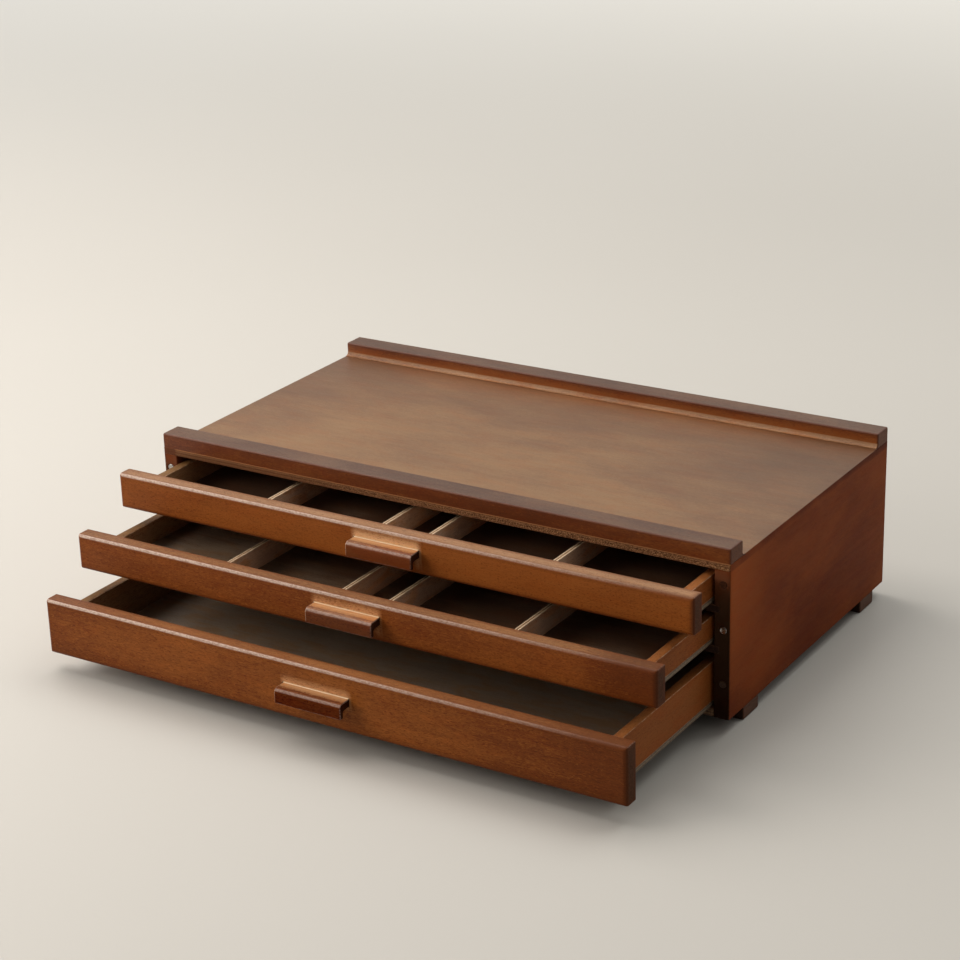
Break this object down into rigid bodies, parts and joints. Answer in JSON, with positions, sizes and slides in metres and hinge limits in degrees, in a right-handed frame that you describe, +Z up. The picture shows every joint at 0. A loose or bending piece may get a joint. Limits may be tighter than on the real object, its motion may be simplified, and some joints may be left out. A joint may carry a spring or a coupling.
{
  "type": "pen chest with drawers",
  "caption": "Low stained-wood pen chest: a panelled case on block feet, with shallow drawers that slide on wooden runners, divided trays, moulded finger pulls and rails along the top.",
  "frame": {"origin": "on the floor, under the middle of the chest's bounding box with its drawers drawn out as stored; the middle of the case's own footprint is 65.25 mm behind it, at y = +0.06525", "axes": "+X to the right of someone facing the drawers, -Y towards them (the way the drawers come out), +Z up"},
  "size_m": [0.4, 0.3516, 0.1138],
  "materials": {
    "case_beech": "walnut-stained beech, satin lacquer",
    "front_beech": "walnut-stained beech, satin lacquer, paler along its rounded edges",
    "pull_beech": "walnut-stained beech, satin lacquer",
    "drawer_beech": "walnut-stained beech, thin matt lacquer",
    "stained_plywood": "walnut-stained plywood, satin lacquer",
    "drawer_plywood": "dark-stained plywood, matt",
    "divider_plywood": "stained three-ply with pale edges, matt",
    "magnet": "nickel-plated, lightly scuffed",
    "screw_steel": "zinc-plated",
    "disc_steel": "plain steel"
  },
  "bodies": {
    "case": {"left_side_panel": "case_beech", "right_side_panel": "case_beech", "top_panel": "stained_plywood", "front_top_rail": "case_beech", "back_top_rail": "case_beech", "bottom_panel": "stained_plywood", "back_panel": "stained_plywood", "upper_left_runner": "case_beech", "upper_right_runner": "case_beech", "middle_left_runner": "case_beech", "middle_right_runner": "case_beech", "front_left_foot": "case_beech", "front_right_foot": "case_beech", "rear_left_foot": "case_beech", "rear_right_foot": "case_beech", "case_magnets": "magnet"},
    "upper_drawer": {"upper_drawer_front": "front_beech", "upper_drawer_left_side": "drawer_beech", "upper_drawer_right_side": "drawer_beech", "upper_drawer_back": "drawer_beech", "upper_drawer_bottom": "drawer_plywood", "upper_drawer_pull": "pull_beech", "upper_drawer_pull_screws": "screw_steel", "upper_drawer_discs": "disc_steel", "upper_divider_1": "divider_plywood", "upper_divider_2": "divider_plywood", "upper_divider_3": "divider_plywood", "upper_divider_4": "divider_plywood"},
    "middle_drawer": {"middle_drawer_front": "front_beech", "middle_drawer_left_side": "drawer_beech", "middle_drawer_right_side": "drawer_beech", "middle_drawer_back": "drawer_beech", "middle_drawer_bottom": "drawer_plywood", "middle_drawer_pull": "pull_beech", "middle_drawer_pull_screws": "screw_steel", "middle_drawer_discs": "disc_steel", "middle_divider_1": "divider_plywood", "middle_divider_2": "divider_plywood", "middle_divider_3": "divider_plywood", "middle_divider_4": "divider_plywood"},
    "lower_drawer": {"lower_drawer_front": "front_beech", "lower_drawer_left_side": "drawer_beech", "lower_drawer_right_side": "drawer_beech", "lower_drawer_back": "drawer_beech", "lower_drawer_bottom": "drawer_plywood", "lower_drawer_pull": "pull_beech", "lower_drawer_pull_screws": "screw_steel", "lower_drawer_discs": "disc_steel"}
  },
  "joints": [
    {"name": "upper_drawer_slide", "type": "slide", "parent": "case", "child": "upper_drawer", "axis": [0, -1, 0], "range_m": [-0.0348, 0.1252]},
    {"name": "middle_drawer_slide", "type": "slide", "parent": "case", "child": "middle_drawer", "axis": [0, -1, 0], "range_m": [-0.0774, 0.0826]},
    {"name": "lower_drawer_slide", "type": "slide", "parent": "case", "child": "lower_drawer", "axis": [0, -1, 0], "range_m": [-0.1109, 0.0491]}
  ]
}
